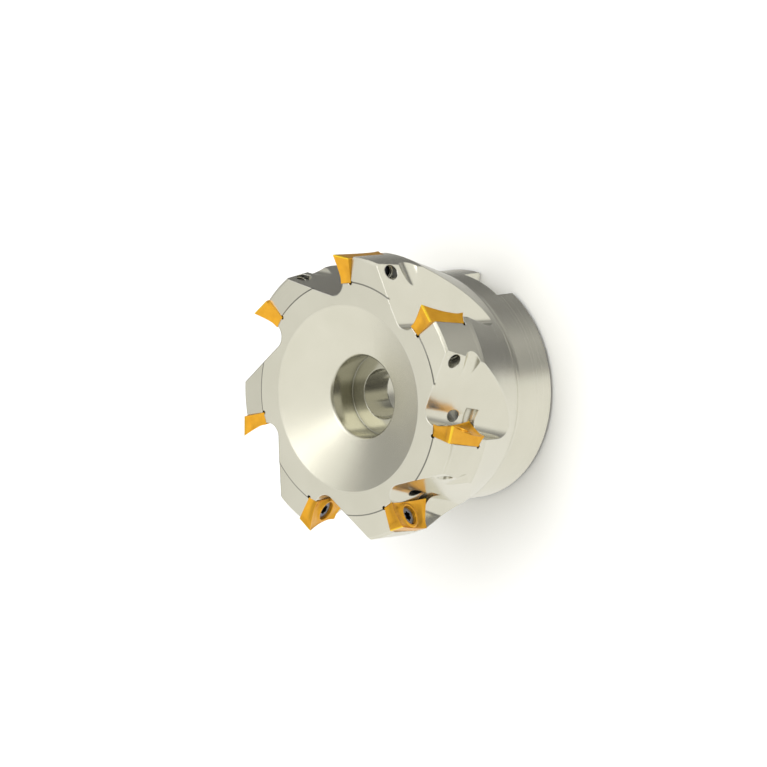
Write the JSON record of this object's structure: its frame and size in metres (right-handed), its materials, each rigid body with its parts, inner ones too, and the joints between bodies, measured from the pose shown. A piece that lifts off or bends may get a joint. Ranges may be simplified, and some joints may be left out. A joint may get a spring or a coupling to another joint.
{
  "type": "indexable face mill",
  "caption": "Shell-type square-shoulder face mill with a dished front face, chip flutes and screw-clamped indexable inserts with a wavy cutting edge, driven by a cross slot in its hub.",
  "frame": {"origin": "centre of the back face, on the cutter's axis", "axes": "+Z along the cutter's axis from the back face to the cutting plane; X along the drive slot"},
  "size_m": [0.0625, 0.062, 0.04],
  "materials": {
    "body": "satin nickel-like finish on turned steel",
    "insert": "orange-gold coating on carbide",
    "screw": "dark blue-grey oxide"
  },
  "bodies": {
    "cutter": {"cutter_body": "body"},
    "insert_1": {"insert_1": "insert"},
    "insert_screw_1": {"insert_screw_1": "screw"},
    "insert_2": {"insert_2": "insert"},
    "insert_screw_2": {"insert_screw_2": "screw"},
    "insert_3": {"insert_3": "insert"},
    "insert_screw_3": {"insert_screw_3": "screw"},
    "insert_4": {"insert_4": "insert"},
    "insert_screw_4": {"insert_screw_4": "screw"},
    "insert_5": {"insert_5": "insert"},
    "insert_screw_5": {"insert_screw_5": "screw"},
    "insert_6": {"insert_6": "insert"},
    "insert_screw_6": {"insert_screw_6": "screw"},
    "insert_7": {"insert_7": "insert"},
    "insert_screw_7": {"insert_screw_7": "screw"}
  },
  "joints": [
    {"name": "insert_1_lift", "type": "slide", "parent": "cutter", "child": "insert_1", "axis": [-0.3505, 0.9228, -0.1599], "range_m": [0, 0.0025]},
    {"name": "insert_screw_1_out", "type": "slide", "parent": "insert_1", "child": "insert_screw_1", "axis": [-0.3505, 0.9228, -0.1599], "range_m": [0, 0.0065]},
    {"name": "insert_2_lift", "type": "slide", "parent": "cutter", "child": "insert_2", "axis": [-0.94, 0.3013, -0.1599], "range_m": [0, 0.0025]},
    {"name": "insert_screw_2_out", "type": "slide", "parent": "insert_2", "child": "insert_screw_2", "axis": [-0.94, 0.3013, -0.1599], "range_m": [0, 0.0065]},
    {"name": "insert_3_lift", "type": "slide", "parent": "cutter", "child": "insert_3", "axis": [-0.8217, -0.5471, -0.1599], "range_m": [0, 0.0025]},
    {"name": "insert_screw_3_out", "type": "slide", "parent": "insert_3", "child": "insert_screw_3", "axis": [-0.8217, -0.5471, -0.1599], "range_m": [0, 0.0065]},
    {"name": "insert_4_lift", "type": "slide", "parent": "cutter", "child": "insert_4", "axis": [-0.0846, -0.9835, -0.1599], "range_m": [0, 0.0025]},
    {"name": "insert_screw_4_out", "type": "slide", "parent": "insert_4", "child": "insert_screw_4", "axis": [-0.0846, -0.9835, -0.1599], "range_m": [0, 0.0065]},
    {"name": "insert_5_lift", "type": "slide", "parent": "cutter", "child": "insert_5", "axis": [0.7162, -0.6793, -0.1599], "range_m": [0, 0.0025]},
    {"name": "insert_screw_5_out", "type": "slide", "parent": "insert_5", "child": "insert_screw_5", "axis": [0.7162, -0.6793, -0.1599], "range_m": [0, 0.0065]},
    {"name": "insert_6_lift", "type": "slide", "parent": "cutter", "child": "insert_6", "axis": [0.9777, 0.1364, -0.1599], "range_m": [0, 0.0025]},
    {"name": "insert_screw_6_out", "type": "slide", "parent": "insert_6", "child": "insert_screw_6", "axis": [0.9777, 0.1364, -0.1599], "range_m": [0, 0.0065]},
    {"name": "insert_7_lift", "type": "slide", "parent": "cutter", "child": "insert_7", "axis": [0.5029, 0.8494, -0.1599], "range_m": [0, 0.0025]},
    {"name": "insert_screw_7_out", "type": "slide", "parent": "insert_7", "child": "insert_screw_7", "axis": [0.5029, 0.8494, -0.1599], "range_m": [0, 0.0065]}
  ]
}
